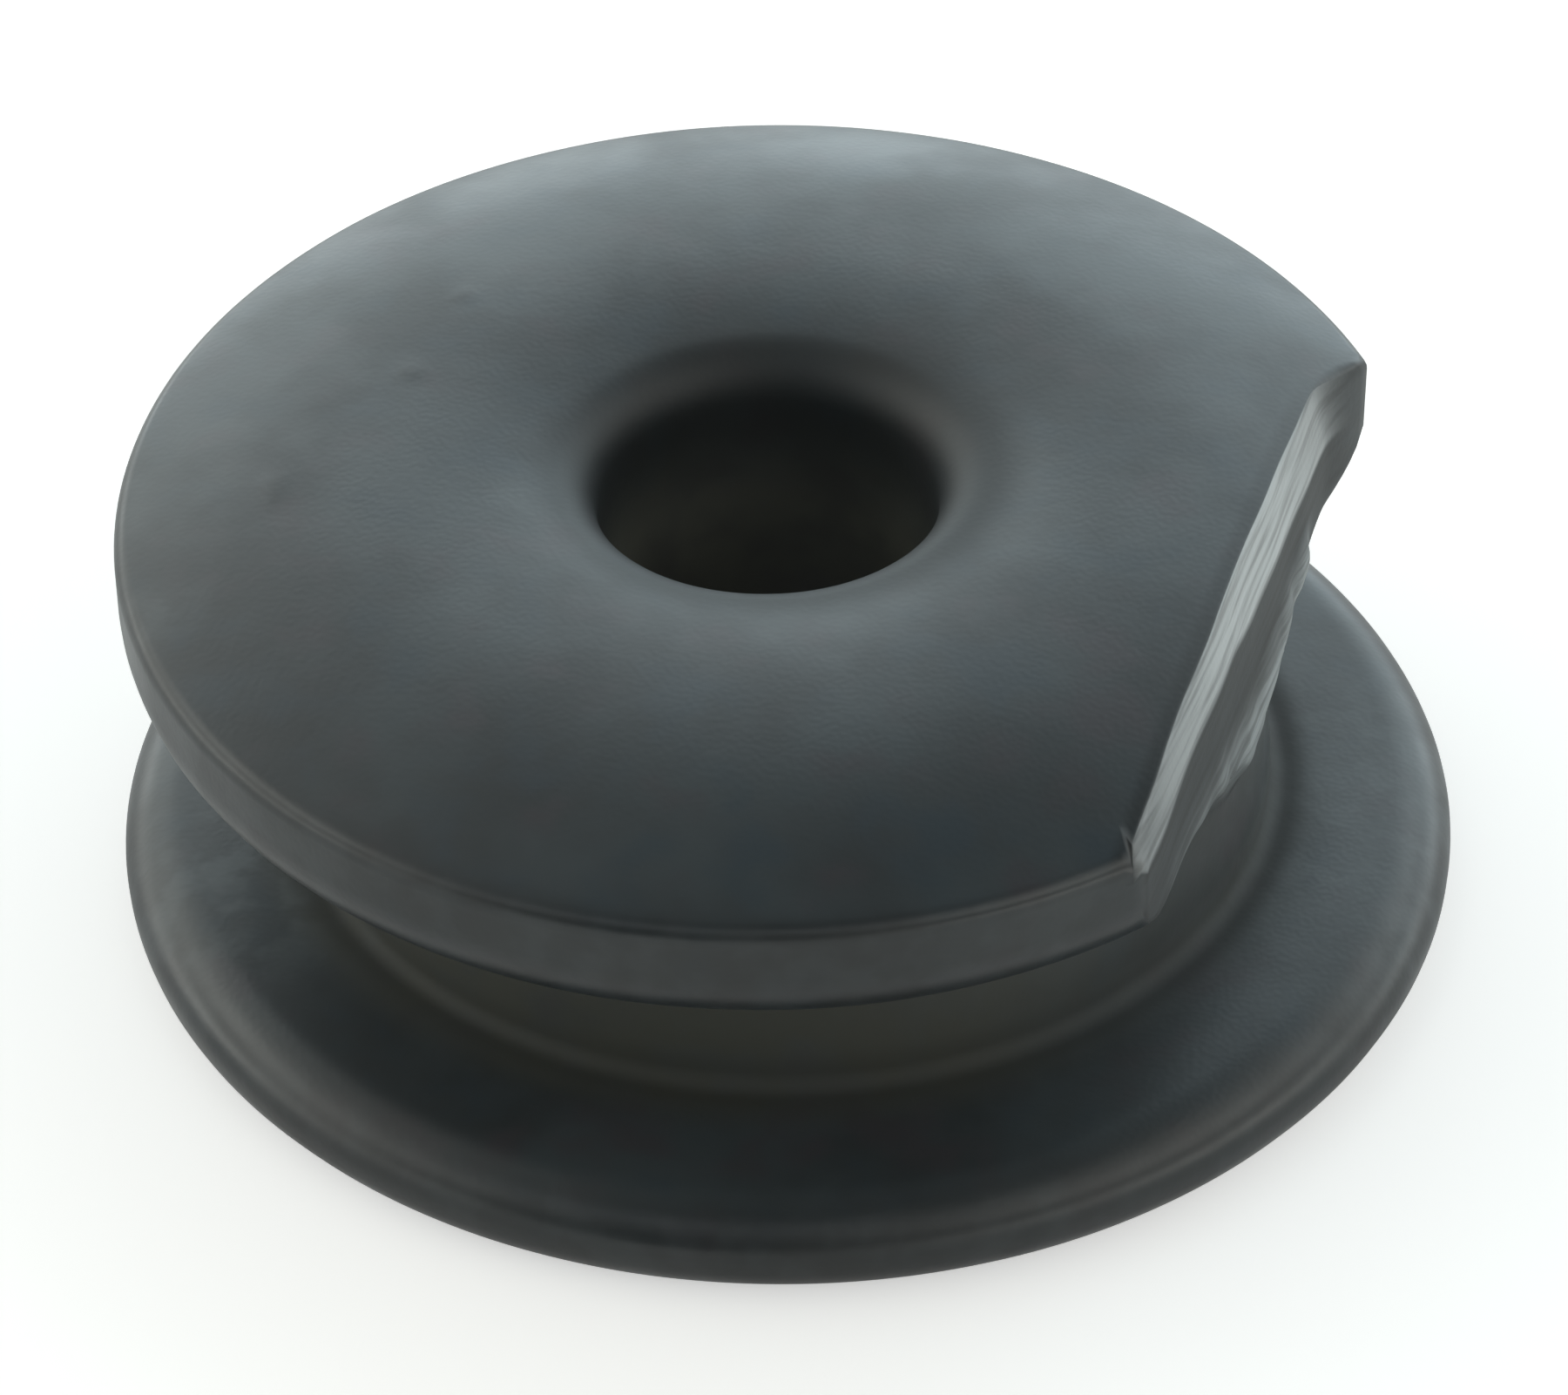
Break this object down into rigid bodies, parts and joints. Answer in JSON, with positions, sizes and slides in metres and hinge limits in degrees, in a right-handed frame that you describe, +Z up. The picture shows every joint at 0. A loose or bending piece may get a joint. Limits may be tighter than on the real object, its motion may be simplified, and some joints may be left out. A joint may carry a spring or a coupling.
{
  "type": "rubber grommet",
  "caption": "Round rubber panel grommet with a swelling cap flange trimmed flat on one side, a panel groove, a wider base flange and a round-lipped bore.",
  "frame": {"origin": "centre of the base flange's underside, on the bore's axis", "axes": "+Z up the bore, towards the cap flange; +X out of the flat trimmed on the cap flange"},
  "size_m": [0.024, 0.024, 0.0088],
  "materials": {
    "rubber": "satin moulded black rubber with a faint grey bloom"
  },
  "bodies": {
    "root": {"grommet": "rubber"}
  },
  "joints": []
}
